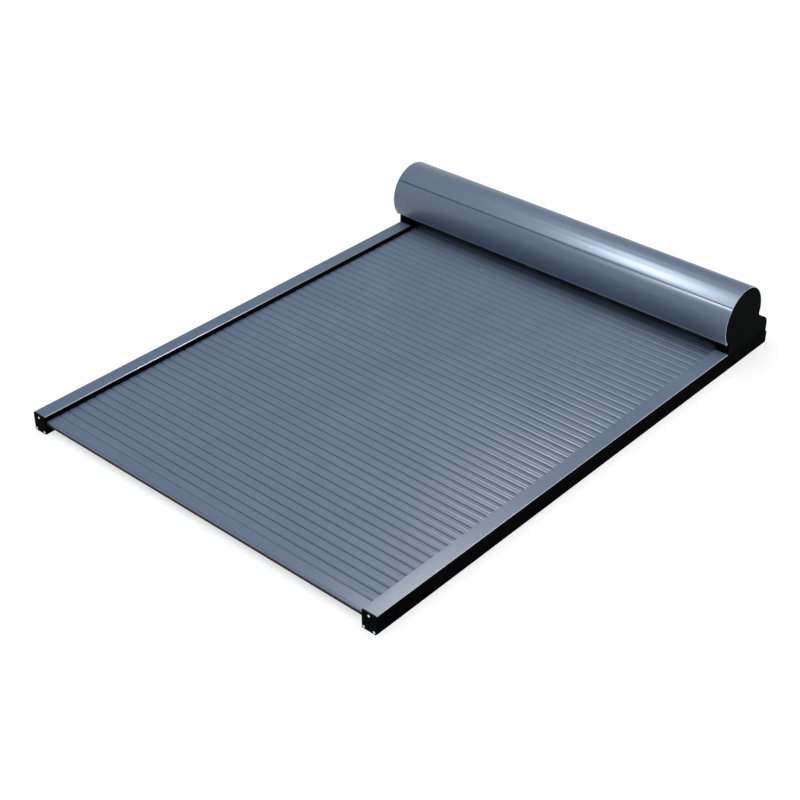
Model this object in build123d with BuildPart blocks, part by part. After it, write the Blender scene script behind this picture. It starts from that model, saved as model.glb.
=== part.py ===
"""Outdoor roller shutter for a roof window, lying flat and closed.

A curtain of interlocking metal slats runs in two side rails. It leaves a round casing at the rear, where an
axle with a motor inside it winds the slats up. X runs across the shutter, Y from its front edge towards the
casing, and Z upwards. The origin is on the underside, at the middle of the length and the width.
Sizes are in millimetres.
"""

import os
from math import cos, degrees, radians, sin, sqrt

from build123d import *

os.makedirs("parts", exist_ok=True)

# Overall sizes
overall_width = 1140.0
overall_length = 1564.0
half_width = overall_width / 2

# Clearances
fit_gap = 0.3
running_gap = 0.06
slide_gap = 0.4
stop_gap = 0.5

# Flat sides of small turned pieces and of their holes
shank_sides = 6
head_sides = 8
rim_sides = 16

# Side rails
rail_width = 40.0
rail_height = 51.0
rail_wall = 2.0
rail_cover_thickness = 2.0
rail_edge_round = 0.9
slot_depth = 26.0
slot_floor = 22.0
slot_height = 15.0
screw_port_radius = 3.4
screw_port_bore = 1.8
screw_port_sides = 8
screw_port_root = 0.2
seal_groove_width = 6.0
seal_groove_depth = 1.6
seal_groove_rib = 1.0
seal_inset = 8.7
cover_leg_length = 5.0
cover_leg_thickness = 1.2
fixing_hole_radius = 2.75
fixing_access_length = 10.0
fixing_hole_count = 3
fixing_hole_start = 120.0
fixing_hole_end = 244.0
rail_tail_height = 33.4

# Caps on the rail ends
cap_thickness = 3.0
cap_corner_round = 2.0
cap_corner_bevel = 1.5
cap_spigot_length = 6.0
cap_screw_length = 16.0
cap_screw_radius = 1.7
cap_screw_head_radius = 3.2
cap_screw_head_depth = 1.7

# Curtain
slat_pitch = 27.5
slats_in_a_group = 5
slat_thickness = 8.5
slat_reach = 22.0
curtain_top = 33.0
curtain_overrun = 2.0
joint_gap = 1.9
tongue_thickness = 1.3
tongue_play = 0.5
hook_width = 1.3
hook_rise = 1.4
hook_reach = 4.7
pocket_play = 0.7
jaw_thickness = 3.1
lip_length = 2.1
edge_bevel = 0.8
edge_drop = 1.1
ridge_height = 0.55
crest_places = (5.2, 14.6, 23.4)
valley_places = (10.7, 19.5)
clip_thickness = 2.2
clip_slope = 75.0

# Bottom bar
bar_depth = 39.0
bar_groove_width = 1.6
bar_groove_depth = 1.6
bar_lip_width = 4.2
bar_skin = 1.4
bar_web = 2.0
bar_seal_width = 2.6
bar_seal_height = 8.0
bar_seal_grip = 4.4
plug_thickness = 2.2
plug_spigot_length = 16.0
plug_bevel = 1.2

# Casing over the axle
casing_setback = 142.0
axle_height = 135.0
casing_radius = 87.0
casing_wall = 2.0
lip_angle = 214.0
seam_angle = 139.0
rear_edge_angle = -9.0
seam_gap = 1.4
seam_lap_angle = 5.0
hem_radius = 2.2
lip_shelf_depth = 6.8
lip_shelf_thickness = 1.2
cover_screw_count = 4
cover_screw_inset = 90.0
cover_screw_drop = 8.0
cover_screw_radius = 1.8
cover_screw_head_radius = 3.6
cover_screw_head_height = 2.0
cover_screw_length = 10.0

# End cheeks and the profile along the rear
cheek_plate = 3.0
cheek_rim_depth = 27.0
cheek_rim_thickness = 3.0
cheek_rim_stop_angle = 210.0
foot_reach = 58.0
foot_height = 42.5
foot_wall = 3.0
foot_round = 30.0
foot_rib_count = 3
foot_setback = 8.0
neck_bevel = 14.0
tenon_depth = 19.0
tenon_screw_spacing = 90.0
tenon_screw_radius = 1.7
tenon_screw_head_radius = 3.4
tenon_screw_head_height = 1.2
tenon_screw_length = 10.0
guide_length = 34.0
guide_round = 10.0
rear_wall = 2.0
rear_flange = 25.0
rear_bend = 3.0
panel_thickness = 1.2
panel_upstand = 12.0
gland_inset = 140.0
gland_height = 46.0
gland_hole_radius = 7.0
gland_bore_radius = 3.2
gland_flange = 2.4
gland_flange_width = 4.0

# Brush under the casing's lip
tuft_count = 100
bristles_in_a_tuft = 3
tuft_fullness = 0.8
bristle_length = 9.0
bristle_thickness = 1.2
backing_height = 4.6

# Axle and drive
tube_sides = 8
tube_across_flats = 60.0
tube_wall = 1.0
motor_radius = 22.5
motor_length = 540.0
motor_head_radius = 27.0
motor_head_length = 21.5
bracket_thickness = 2.5
bracket_width = 70.0
bracket_height = 60.0
bracket_bevel = 7.0
bracket_screw_spacing = 54.0
bracket_screw_rise = 44.0
bracket_screw_radius = 2.0
bracket_screw_head_radius = 3.6
bracket_screw_head_height = 2.2
shaft_across_flats = 14.0
shaft_sides = 6
shaft_seat_radius = 8.2
shaft_length = 26.0
shaft_seat = 8.0
wheel_length = 16.0
wheel_setback = 3.0
crown_flange = 1.6
crown_length = 12.0
spoke_hole_circle = 17.5
spoke_hole_radius = 5.5
spoke_hole_sides = 4
spoke_hole_count = 4
idler_flange_start = 31.6
idler_plug_length = 40.0
pin_radius = 6.0
bearing_across_flats = 28.0
bearing_width = 8.0
bearing_floor = 5.0
holder_wall = 6.0
holder_height = 30.0
strap_width = 25.0
strap_thickness = 0.8
strap_bend = 9.0
strap_rise = 10.0
strap_count = 4
strap_inset = 180.0


def along(distance):
    """Y of a place given by its distance from the front end of the shutter."""
    return distance - overall_length / 2


def across_plane(distance):
    """Upright plane across the shutter, at a distance from its front end."""
    return Plane.XZ.offset(-along(distance))


def side_plane(x):
    """Upright plane along the shutter, seen from its right side."""
    return Plane.YZ.offset(x)


def inboard(side, distance):
    """X of a place given by its distance inwards from a rail's outer face."""
    return side * (half_width - distance)


def strip(side, start, end, bottom, top, mode=Mode.ADD):
    """Rectangle in a rail's cross-section, between two distances from its outer face."""
    with Locations((inboard(side, (start + end) / 2), (bottom + top) / 2)):
        Rectangle(end - start, top - bottom, mode=mode)


def evenly(count, spacing):
    """Places in a row, evenly spaced about the middle."""
    return [(number - (count - 1) / 2) * spacing for number in range(count)]


def write_piece(shape, name):
    """Names a finished piece and writes its file."""
    shape.label = name
    export_step(shape, f"parts/{name}.step")


SIDES = ((-1, "left"), (1, "right"))

# Heights and places that follow from the sizes above
rail_body_top = rail_height - rail_cover_thickness
rail_start = cap_thickness
rail_end = overall_length - cap_thickness
slot_ceiling = slot_floor + slot_height
slot_back = rail_width - slot_depth
casing_centre = overall_length - casing_setback
cheek_front = casing_centre - foot_reach
cheek_rear = overall_length - foot_setback
slot_mouth = cheek_front + rail_wall
inner_radius = casing_radius - casing_wall
bar_front = rail_start + cap_spigot_length + stop_gap
first_joint = bar_front + bar_depth
slat_count = int((casing_centre + curtain_overrun - first_joint) / slat_pitch)
slat_length = overall_width - 2 * (rail_width - slat_reach)
curtain_bottom = curtain_top - slat_thickness
port_inset = rail_wall + screw_port_radius - screw_port_root
screw_ports = (
    (port_inset, port_inset),
    (rail_width - port_inset, port_inset),
    (rail_width / 2, slot_ceiling + port_inset),
)
fixing_line = slot_back / 2
fixing_hole_spacing = (overall_length - fixing_hole_start - fixing_hole_end) / (fixing_hole_count - 1)
seal_line = rail_width - seal_inset
tenon_screw_z = rail_body_top - tenon_depth / 2
tenon_screw_places = [(along(casing_centre) + y, tenon_screw_z) for y in evenly(2, tenon_screw_spacing)]


# Side rails: one extrusion each, with the slot for the slat ends and an open channel for the fixing screws
def rail_section(side):
    """Cross-section of the rail's extrusion."""
    strip(side, 0, rail_wall, 0, rail_body_top)
    strip(side, 0, rail_width, 0, rail_wall)
    strip(side, slot_back - rail_wall, slot_back, 0, slot_ceiling + rail_wall)
    strip(side, slot_back - rail_wall, rail_width, slot_floor - rail_wall, slot_floor)
    strip(side, rail_width - rail_wall, rail_width, 0, slot_floor)
    strip(side, slot_back - rail_wall, rail_width, slot_ceiling, slot_ceiling + rail_wall)
    strip(side, rail_width - rail_wall, rail_width, slot_ceiling, rail_body_top)
    for edge in (-1, 1):
        rib = seal_line + edge * (seal_groove_width + seal_groove_rib) / 2
        strip(side, rib - seal_groove_rib / 2, rib + seal_groove_rib / 2,
              slot_ceiling - seal_groove_depth, slot_ceiling)
    for distance, height in screw_ports:
        with Locations((inboard(side, distance), height)):
            RegularPolygon(screw_port_radius, screw_port_sides, False, 180 / screw_port_sides)
            RegularPolygon(screw_port_bore, shank_sides, mode=Mode.SUBTRACT)


def make_rail(side, hand):
    """Rail with its screw holes, opened at the top where it passes under the casing."""
    with BuildPart() as rail:
        with BuildSketch(across_plane(rail_start)):
            rail_section(side)
        extrude(amount=-(rail_end - rail_start))
        with BuildSketch(across_plane(slot_mouth)):
            strip(side, slot_back, rail_width, rail_tail_height, rail_height)
            strip(side, slot_back - rail_wall, slot_back, slot_ceiling, rail_height)
        extrude(amount=-(rail_end - slot_mouth), mode=Mode.SUBTRACT)
        with BuildSketch(across_plane(cheek_rear - foot_wall - fit_gap)):
            strip(side, 0, rail_width, rail_tail_height - fit_gap, rail_height)
        extrude(amount=-(foot_setback + foot_wall), mode=Mode.SUBTRACT)
        for number in range(fixing_hole_count):
            place = along(fixing_hole_start + number * fixing_hole_spacing)
            with BuildSketch(Plane.XY.offset(rail_wall)):
                with Locations((inboard(side, fixing_line), place)):
                    Rectangle(slot_back - 2 * rail_wall, fixing_access_length)
            extrude(amount=rail_body_top, mode=Mode.SUBTRACT)
            with BuildSketch(Plane.XY):
                with Locations((inboard(side, fixing_line), place)):
                    Circle(fixing_hole_radius)
            extrude(amount=rail_wall, mode=Mode.SUBTRACT)
        with BuildSketch(side_plane(inboard(side, 0))):
            with Locations(*tenon_screw_places):
                RegularPolygon(tenon_screw_head_radius + fit_gap, head_sides)
        extrude(amount=-side * tenon_screw_head_height, mode=Mode.SUBTRACT)
        with BuildSketch(side_plane(inboard(side, 0))):
            with Locations(*tenon_screw_places):
                RegularPolygon(tenon_screw_radius + fit_gap, shank_sides)
        extrude(amount=-side * rail_wall, mode=Mode.SUBTRACT)
    write_piece(rail.part, f"rail_{hand}")


def make_rail_cover(side, hand):
    """Clipped-on strip that closes the rail's top and hides the fixing screws."""
    with BuildPart() as cover:
        with BuildSketch(across_plane(rail_start)) as section:
            strip(side, 0, rail_width, rail_body_top, rail_height)
            fillet(section.vertices().group_by(Axis.Y)[-1], rail_edge_round)
            for wall in (rail_wall, rail_width - 2 * rail_wall):
                leg = wall + (rail_wall - cover_leg_thickness) / 2
                strip(side, leg, leg + cover_leg_thickness, rail_body_top - cover_leg_length, rail_body_top)
        extrude(amount=-(cheek_front - rail_start))
    write_piece(cover.part, f"rail_cover_{hand}")


def make_glide_strip(side, hand):
    """Plastic strip on the slot's floor, under the slat ends."""
    start = rail_start + cap_spigot_length + fit_gap
    with BuildPart() as glide:
        with BuildSketch(across_plane(start)):
            strip(side, slot_back + cap_spigot_length, rail_width - rail_wall,
                  slot_floor, curtain_bottom - slide_gap)
        extrude(amount=-(rail_end - start))
    write_piece(glide.part, f"glide_strip_{hand}")


def make_brush_seal(side, hand):
    """Pile seal in the groove of the slot's ceiling, above the slat ends."""
    start = rail_start + cap_spigot_length + fit_gap
    backing = slot_ceiling - seal_groove_depth / 2
    half_groove = seal_groove_width / 2
    pile = seal_groove_width / 4
    with BuildPart() as seal:
        with BuildSketch(across_plane(start)):
            strip(side, seal_line - half_groove, seal_line + half_groove, backing, slot_ceiling)
            strip(side, seal_line - pile, seal_line + pile, curtain_top + slide_gap, backing)
        extrude(amount=-(cheek_front - start))
    write_piece(seal.part, f"brush_seal_{hand}")


# Caps on the rail ends
def cap_screw_places(side):
    """Where the three screws of a front cap sit."""
    return [(inboard(side, distance), height) for distance, height in screw_ports]


def lower_spigot(side):
    """Outline of a cap's spigot in the rail's lower chamber, beside the screw port."""
    strip(side, slot_back + fit_gap, rail_width - rail_wall - 2 * screw_port_radius - fit_gap,
          rail_wall + fit_gap, slot_floor - rail_wall - fit_gap)


def make_front_cap(side, hand):
    """Moulded cap on a rail's front end, whose inner block also stops the bottom bar."""
    with BuildPart() as cap:
        with BuildSketch(across_plane(0)) as plate:
            strip(side, 0, rail_width, 0, rail_height)
            fillet(plate.vertices(), cap_corner_round)
        extrude(amount=-cap_thickness)
        with BuildSketch(across_plane(cap_thickness)):
            strip(side, slot_back + fit_gap, rail_width - rail_wall,
                  slot_floor + fit_gap, slot_ceiling - seal_groove_depth - fit_gap)
            lower_spigot(side)
        extrude(amount=-cap_spigot_length)
        with BuildSketch(across_plane(0)):
            with Locations(*cap_screw_places(side)):
                RegularPolygon(cap_screw_head_radius + fit_gap / 2, head_sides)
        extrude(amount=-cap_screw_head_depth, mode=Mode.SUBTRACT)
        with BuildSketch(across_plane(0)):
            with Locations(*cap_screw_places(side)):
                RegularPolygon(screw_port_bore, shank_sides)
        extrude(amount=-cap_thickness, mode=Mode.SUBTRACT)
    write_piece(cap.part, f"front_cap_{hand}")


def make_rear_cap(side, hand):
    """Low cap on a rail's rear end, behind the cheek."""
    with BuildPart() as cap:
        with BuildSketch(across_plane(rail_end)) as plate:
            strip(side, 0, rail_width, 0, rail_tail_height)
            chamfer(plate.vertices(), cap_corner_bevel)
        extrude(amount=-cap_thickness)
        with BuildSketch(across_plane(rail_end)):
            lower_spigot(side)
        extrude(amount=cap_spigot_length)
    write_piece(cap.part, f"rear_cap_{hand}")


for side, hand in SIDES:
    make_rail(side, hand)
    make_rail_cover(side, hand)
    make_glide_strip(side, hand)
    make_brush_seal(side, hand)
    make_front_cap(side, hand)
    make_rear_cap(side, hand)


# Screws in the front caps, with their heads let in flush
with BuildPart() as cap_screws:
    for side, _ in SIDES:
        with BuildSketch(across_plane(0)):
            with Locations(*cap_screw_places(side)):
                RegularPolygon(cap_screw_head_radius, head_sides)
        extrude(amount=-cap_screw_head_depth)
        with BuildSketch(across_plane(cap_screw_head_depth)):
            with Locations(*cap_screw_places(side)):
                RegularPolygon(cap_screw_radius, shank_sides)
        extrude(amount=-(cap_screw_length - cap_screw_head_depth))
write_piece(cap_screws.part, "cap_screws")

# Flush screws through the rails' outer walls into the cheeks' tenons
with BuildPart() as cheek_screws:
    for side, _ in SIDES:
        with BuildSketch(side_plane(inboard(side, 0))):
            with Locations(*tenon_screw_places):
                RegularPolygon(tenon_screw_head_radius, head_sides)
        extrude(amount=-side * tenon_screw_head_height)
        with BuildSketch(side_plane(inboard(side, tenon_screw_head_height))):
            with Locations(*tenon_screw_places):
                RegularPolygon(tenon_screw_radius, shank_sides)
        extrude(amount=-side * (tenon_screw_length - tenon_screw_head_height))
write_piece(cheek_screws.part, "cheek_screws")


# Slats. Each has a tongue that ends in a hook, which lies in the pocket behind the next slat's lip.
nose = joint_gap / 2
shoulder = slat_pitch - nose
tongue_bottom = jaw_thickness + tongue_play
tongue_top = tongue_bottom + tongue_thickness
hook_top = tongue_top + hook_rise
lip_bottom = tongue_top + tongue_play
pocket_start = nose + lip_length
pocket_end = nose + hook_reach + pocket_play
crest = slat_thickness
valley = crest - ridge_height
edge_height = crest - edge_drop


def tongue_points(joint):
    """Outline of the tongue and its hook, up from the underside, for a joint line at this place."""
    base = joint - nose
    tip = joint + nose + hook_reach
    return [
        (base, tongue_bottom),
        (tip, tongue_bottom),
        (tip, hook_top),
        (tip - hook_width, hook_top),
        (tip - hook_width, tongue_top),
        (base, tongue_top),
    ]


def ridge_points():
    """Three low ridges across the slat's face, from the upper edge to the lower one."""
    points = [(place, crest) for place in crest_places] + [(place, valley) for place in valley_places]
    return sorted(points, reverse=True)


with BuildSketch() as slat_section:
    Polygon(
        (nose, 0),
        (shoulder, 0),
        *tongue_points(slat_pitch),
        (shoulder, edge_height),
        *ridge_points(),
        (nose, edge_height),
        (nose, lip_bottom),
        (pocket_start, lip_bottom),
        (pocket_start, hook_top + tongue_play),
        (pocket_end, hook_top + tongue_play),
        (pocket_end, jaw_thickness),
        (nose, jaw_thickness),
    )


def make_slat_group(first):
    """A few neighbouring slats, each its own solid."""
    last = min(first + slats_in_a_group, slat_count + 1) - 1
    with BuildPart() as slats:
        with BuildSketch(side_plane(-slat_length / 2)):
            for number in range(first, last + 1):
                with Locations((along(first_joint + (number - 1) * slat_pitch), curtain_bottom)):
                    add(slat_section.sketch)
        extrude(amount=slat_length)
    write_piece(slats.part, f"slats_{first:02d}_{last:02d}")


for first in range(1, slat_count + 1, slats_in_a_group):
    make_slat_group(first)

# Nylon clips on both ends of every second slat, which keep the slats in line
with BuildPart() as slat_end_clips:
    for side, _ in SIDES:
        with BuildSketch(side_plane(side * slat_length / 2)):
            for number in range(1, slat_count + 1, 2):
                middle = along(first_joint + (number - 0.5) * slat_pitch)
                with Locations((middle, curtain_bottom + slat_thickness / 2)):
                    Trapezoid(shoulder - nose - 2 * edge_bevel, slat_thickness - 2 * edge_bevel, clip_slope)
        extrude(amount=side * clip_thickness)
write_piece(slat_end_clips.part, "slat_end_clips")


# Bottom bar: a hollow extrusion with a groove behind its front lip and the same tongue as a slat
groove_start = bar_lip_width - bar_depth
groove_end = groove_start + bar_groove_width
bar_flat = crest - edge_bevel / 2
chamber_width = (-nose - groove_end - 3 * bar_web) / 2
chamber_height = slat_thickness - 2 * bar_skin - edge_bevel
last_chamber = -nose - bar_web - chamber_width / 2
chamber_places = (last_chamber - chamber_width - bar_web, last_chamber)
bar_middle = curtain_bottom + slat_thickness / 2

with BuildPart() as bottom_bar:
    with BuildSketch(side_plane(-slat_length / 2)):
        with Locations((along(first_joint), curtain_bottom)):
            Polygon(
                (-bar_depth, bar_seal_grip),
                (-bar_depth + bar_seal_width, bar_seal_grip),
                (-bar_depth + bar_seal_width, 0),
                (-nose, 0),
                *tongue_points(0),
                (-nose, bar_flat - edge_bevel),
                (-nose - edge_bevel, bar_flat),
                (groove_end, bar_flat),
                (groove_end, crest - bar_groove_depth),
                (groove_start, crest - bar_groove_depth),
                (groove_start, crest),
                (-bar_depth + edge_bevel / 2, crest),
                (-bar_depth, crest - edge_bevel / 2),
            )
            with Locations(*[(chamber, slat_thickness / 2) for chamber in chamber_places]):
                Rectangle(chamber_width, chamber_height, mode=Mode.SUBTRACT)
    extrude(amount=slat_length)
write_piece(bottom_bar.part, "bottom_bar")

# Rubber seal under the bar's front lip, which hangs down towards the window's frame
seal_drop = bar_seal_height - bar_seal_grip
seal_taper = bar_seal_width / 4
with BuildPart() as bar_seal:
    with BuildSketch(side_plane(-slat_length / 2 + slat_reach)):
        with Locations((along(bar_front), curtain_bottom)):
            Polygon(
                (0, bar_seal_grip),
                (bar_seal_width, bar_seal_grip),
                (bar_seal_width, 0),
                (bar_seal_width - seal_taper, -seal_drop),
                (seal_taper, -seal_drop),
                (0, -seal_drop / 2),
            )
    extrude(amount=slat_length - 2 * slat_reach)
write_piece(bar_seal.part, "bar_seal")

# Plugs in the bar's ends, which glide in the slots and meet the front caps when the shutter is closed
with BuildPart() as bar_end_plugs:
    for side, _ in SIDES:
        end = side * slat_length / 2
        with BuildSketch(side_plane(end)):
            with Locations((along(first_joint - (bar_depth + nose) / 2), bar_middle)):
                plug = Rectangle(bar_depth - nose, slat_thickness)
            chamfer(plug.vertices(), plug_bevel)
        extrude(amount=side * plug_thickness)
        with BuildSketch(side_plane(end)):
            with Locations(*[(along(first_joint + chamber), bar_middle) for chamber in chamber_places]):
                Rectangle(chamber_width - fit_gap, chamber_height - fit_gap)
        extrude(amount=-side * plug_spigot_length)
write_piece(bar_end_plugs.part, "bar_end_plugs")


# Casing: two curved covers over the axle, parted by a seam
def casing_point(angle, radius):
    """Place on a circle round the axle, in the side view."""
    return (along(casing_centre) + radius * cos(radians(angle)), axle_height + radius * sin(radians(angle)))


def casing_band(start, end, inner, outer):
    """Curved strip round the axle in the side view, between two angles and two radii."""
    centre = (along(casing_centre), axle_height)
    with BuildLine() as outline:
        CenterArc(centre, outer, start, end - start)
        CenterArc(centre, inner, start, end - start)
        Line(casing_point(start, inner), casing_point(start, outer))
        Line(casing_point(end, inner), casing_point(end, outer))
    make_face(outline.edges())


half_seam = degrees(seam_gap / casing_radius / 2)
front_cover_edge = seam_angle + half_seam
top_cover_edge = seam_angle - half_seam
lip_y, lip_z = casing_point(lip_angle, casing_radius - casing_wall / 2)
shelf_bottom = lip_z + hem_radius - lip_shelf_thickness
lap_outer = inner_radius - fit_gap
cover_screw_spacing = (overall_width - 2 * cover_screw_inset) / (cover_screw_count - 1)
cover_screw_places = [(x, axle_height - cover_screw_drop)
                      for x in evenly(cover_screw_count, cover_screw_spacing)]

# Front half of the casing, with a rolled hem, a shelf for the brush and a lap under the seam
with BuildPart() as front_cover:
    with BuildSketch(side_plane(-half_width)):
        casing_band(front_cover_edge, lip_angle, inner_radius, casing_radius)
        with Locations((lip_y, lip_z)):
            Circle(hem_radius)
    extrude(amount=overall_width)
    with BuildSketch(side_plane(-half_width + rail_width)):
        with Locations((lip_y, shelf_bottom)):
            Rectangle(lip_shelf_depth, lip_shelf_thickness, align=(Align.MIN, Align.MIN))
        casing_band(top_cover_edge - seam_lap_angle, front_cover_edge + half_seam,
                    lap_outer - casing_wall, lap_outer)
        casing_band(front_cover_edge, front_cover_edge + half_seam, lap_outer - casing_wall, casing_radius)
    extrude(amount=overall_width - 2 * rail_width)
write_piece(front_cover.part, "front_cover")

# Upper half of the casing, screwed on along its rear edge
with BuildPart() as top_cover:
    with BuildSketch(side_plane(-half_width)):
        casing_band(rear_edge_angle, top_cover_edge, inner_radius, casing_radius)
    extrude(amount=overall_width)
    with BuildSketch(across_plane(casing_centre)):
        with Locations(*cover_screw_places):
            RegularPolygon(cover_screw_radius + fit_gap, shank_sides)
    extrude(amount=-casing_radius, mode=Mode.SUBTRACT)
write_piece(top_cover.part, "top_cover")

# Screws that hold the top cover on the rear profile
screw_seat = casing_centre + sqrt(casing_radius**2 - cover_screw_drop**2) + fit_gap
with BuildPart() as cover_screws:
    with BuildSketch(across_plane(screw_seat)):
        with Locations(*cover_screw_places):
            RegularPolygon(cover_screw_head_radius, head_sides)
    extrude(amount=-cover_screw_head_height)
    with BuildSketch(across_plane(screw_seat)):
        with Locations(*cover_screw_places):
            RegularPolygon(cover_screw_radius, shank_sides)
    extrude(amount=cover_screw_length)
write_piece(cover_screws.part, "cover_screws")

# Bristles in tufts under the casing's lip, which keep leaves out of the slot
brush_span = overall_width - 2 * (rail_width + hem_radius)
brush_start = lip_y + hem_radius + fit_gap
brush_thickness = lip_shelf_depth - hem_radius - 2 * fit_gap
bristle_root = shelf_bottom - backing_height
tuft_pitch = brush_span / tuft_count
bristle_width = tuft_pitch * tuft_fullness / bristles_in_a_tuft


def comb_points():
    """Outline of a row of bristles, with a thin strip along their roots."""
    strip_top = bristle_root + backing_height / 2
    points = [(brush_span / 2, strip_top), (-brush_span / 2, strip_top), (-brush_span / 2, bristle_root)]
    for tuft in evenly(tuft_count, tuft_pitch):
        points.append((tuft - bristles_in_a_tuft * bristle_width / 2, bristle_root))
        for bristle in evenly(bristles_in_a_tuft, bristle_width):
            points.append((tuft + bristle, bristle_root - bristle_length))
            points.append((tuft + bristle + bristle_width / 2, bristle_root))
    return points + [(brush_span / 2, bristle_root)]


with BuildPart() as lip_brush:
    with BuildSketch(Plane.XZ.offset(-brush_start - (brush_thickness - bristle_thickness) / 2)):
        Polygon(*comb_points())
    extrude(amount=-bristle_thickness)
    with BuildSketch(side_plane(-brush_span / 2)):
        with Locations((brush_start, bristle_root)):
            Rectangle(brush_thickness, backing_height, align=(Align.MIN, Align.MIN))
    extrude(amount=brush_span)
write_piece(lip_brush.part, "lip_brush")

# End cheeks: a plate in the casing's end, a rim that carries the covers and a ribbed foot on the rail
foot_top = rail_body_top + foot_height
foot_front, foot_rear = along(cheek_front), along(cheek_rear)
foot_middle = (foot_front + foot_rear) / 2
rim_radius = inner_radius - fit_gap
neck_rear = casing_centre + inner_radius * cos(radians(rear_edge_angle)) - fit_gap
neck_line = along(neck_rear)
bracket_screw_places = [(along(casing_centre) + y, axle_height + z)
                        for y in evenly(2, bracket_screw_spacing) for z in evenly(2, bracket_screw_rise)]
holder_screw_places = [(along(casing_centre) + y, axle_height) for y in evenly(2, bracket_screw_spacing)]

with BuildSketch() as foot:
    with Locations((foot_middle, (rail_body_top + foot_top) / 2)):
        Rectangle(foot_rear - foot_front, foot_height)
    fillet(foot.vertices().group_by(Axis.Y)[-1].sort_by(Axis.X)[-1], foot_round)

with BuildSketch() as foot_bays:
    add(foot.sketch)
    offset(amount=-foot_wall)
    rib_spacing = (foot_rear - foot_front) / (foot_rib_count + 1)
    with Locations(*[(foot_middle + y, foot_top) for y in evenly(foot_rib_count, rib_spacing)]):
        Rectangle(foot_wall, 2 * foot_height, mode=Mode.SUBTRACT)

with BuildSketch() as cheek_outline:
    with Locations((along(casing_centre), axle_height)):
        Circle(rim_radius)
    with Locations((foot_front, lip_z - hem_radius - fit_gap)):
        Rectangle(casing_radius, casing_radius, align=(Align.MAX, Align.MAX), mode=Mode.SUBTRACT)
    with Locations((lip_y, lip_z)):
        Circle(hem_radius + fit_gap, mode=Mode.SUBTRACT)
    add(foot.sketch)
    with Locations((neck_line, foot_top)):
        Rectangle(2 * neck_bevel, axle_height - cover_screw_drop - foot_top, align=(Align.MAX, Align.MIN))
    Polygon(
        (neck_line, foot_top - neck_bevel),
        (neck_line + neck_bevel, foot_top - neck_bevel),
        (neck_line + neck_bevel, foot_top),
        (neck_line, foot_top + neck_bevel),
    )


def make_cheek(side, hand):
    """Moulded cheek at one end of the casing, with a tenon in the rail's outer channel."""
    with BuildPart() as cheek:
        with BuildSketch(side_plane(inboard(side, 0))):
            add(cheek_outline.sketch)
        extrude(amount=-side * cheek_plate)
        with BuildSketch(side_plane(inboard(side, 0))):
            casing_band(rear_edge_angle, cheek_rim_stop_angle, rim_radius - cheek_rim_thickness, rim_radius)
        extrude(amount=-side * cheek_rim_depth)
        with BuildSketch(side_plane(inboard(side, 0))):
            add(foot.sketch)
        extrude(amount=-side * rail_width)
        with BuildSketch(side_plane(inboard(side, cheek_plate))):
            add(foot_bays.sketch)
        extrude(amount=-side * rail_width, mode=Mode.SUBTRACT)
        with BuildSketch(across_plane(cheek_front + foot_wall)):
            strip(side, rail_wall + fit_gap, slot_back - rail_wall - fit_gap,
                  rail_body_top - tenon_depth, rail_body_top)
        extrude(amount=-(cheek_rear - cheek_front - 2 * foot_wall))
        with BuildSketch(across_plane(cheek_rear - foot_wall)):
            strip(side, 0, rail_width, rail_tail_height, rail_body_top)
        extrude(amount=-foot_wall)
        with BuildSketch(side_plane(inboard(side, 0))):
            with Locations(*tenon_screw_places):
                RegularPolygon(tenon_screw_radius, shank_sides)
        extrude(amount=-side * tenon_screw_length, mode=Mode.SUBTRACT)
    write_piece(cheek.part, f"cheek_{hand}")


def make_inlet_guide(side, hand):
    """Rounded guide under the cheek, where the slats leave the rail's slot."""
    with BuildPart() as guide:
        with BuildSketch(side_plane(inboard(side, slot_back))) as profile:
            with Locations((along(slot_mouth), rail_body_top)):
                Rectangle(guide_length, rail_body_top - slot_ceiling - fit_gap, align=(Align.MIN, Align.MAX))
            fillet(profile.vertices().group_by(Axis.Y)[0].sort_by(Axis.X)[-1], guide_round)
        extrude(amount=-side * slot_depth)
    write_piece(guide.part, f"inlet_guide_{hand}")


for side, hand in SIDES:
    make_cheek(side, hand)
    make_inlet_guide(side, hand)

# Bent profile between the cheeks, from under the top cover's edge down to the bottom panel
profile_span = overall_width - 2 * rail_width
gland_x = half_width - gland_inset
half_wall = rear_wall / 2
with BuildPart() as rear_profile:
    with BuildSketch(side_plane(-profile_span / 2)):
        with BuildLine():
            FilletPolyline(
                (neck_line - half_wall, axle_height - cover_screw_drop / 2),
                (neck_line - half_wall, foot_top - half_wall + neck_bevel),
                (neck_line - half_wall + neck_bevel, foot_top - half_wall),
                (foot_rear - half_wall, foot_top - half_wall),
                (foot_rear - half_wall, rail_wall + half_wall),
                (foot_rear - half_wall - rear_flange, rail_wall + half_wall),
                radius=(rear_bend, rear_bend, foot_round - half_wall, rear_bend),
            )
        trace(line_width=rear_wall)
    extrude(amount=profile_span)
    with BuildSketch(across_plane(neck_rear)):
        with Locations(*cover_screw_places):
            RegularPolygon(cover_screw_radius + fit_gap / 2, shank_sides)
    extrude(amount=2 * rear_wall, mode=Mode.SUBTRACT)
    with BuildSketch(across_plane(cheek_rear)):
        with Locations((gland_x, gland_height)):
            RegularPolygon(gland_hole_radius, rim_sides)
    extrude(amount=2 * rear_wall, mode=Mode.SUBTRACT)
write_piece(rear_profile.part, "rear_profile")

# Sheet between the rails that closes the casing from below
with BuildPart() as bottom_panel:
    with BuildSketch(side_plane(-profile_span / 2)):
        with Locations((along(slot_mouth), rail_wall)):
            Rectangle(cheek_rear - slot_mouth, panel_thickness, align=(Align.MIN, Align.MAX))
        with Locations((along(slot_mouth), rail_wall - panel_thickness)):
            Rectangle(panel_thickness, panel_upstand, align=(Align.MIN, Align.MIN))
    extrude(amount=profile_span)
write_piece(bottom_panel.part, "bottom_panel")

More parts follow.
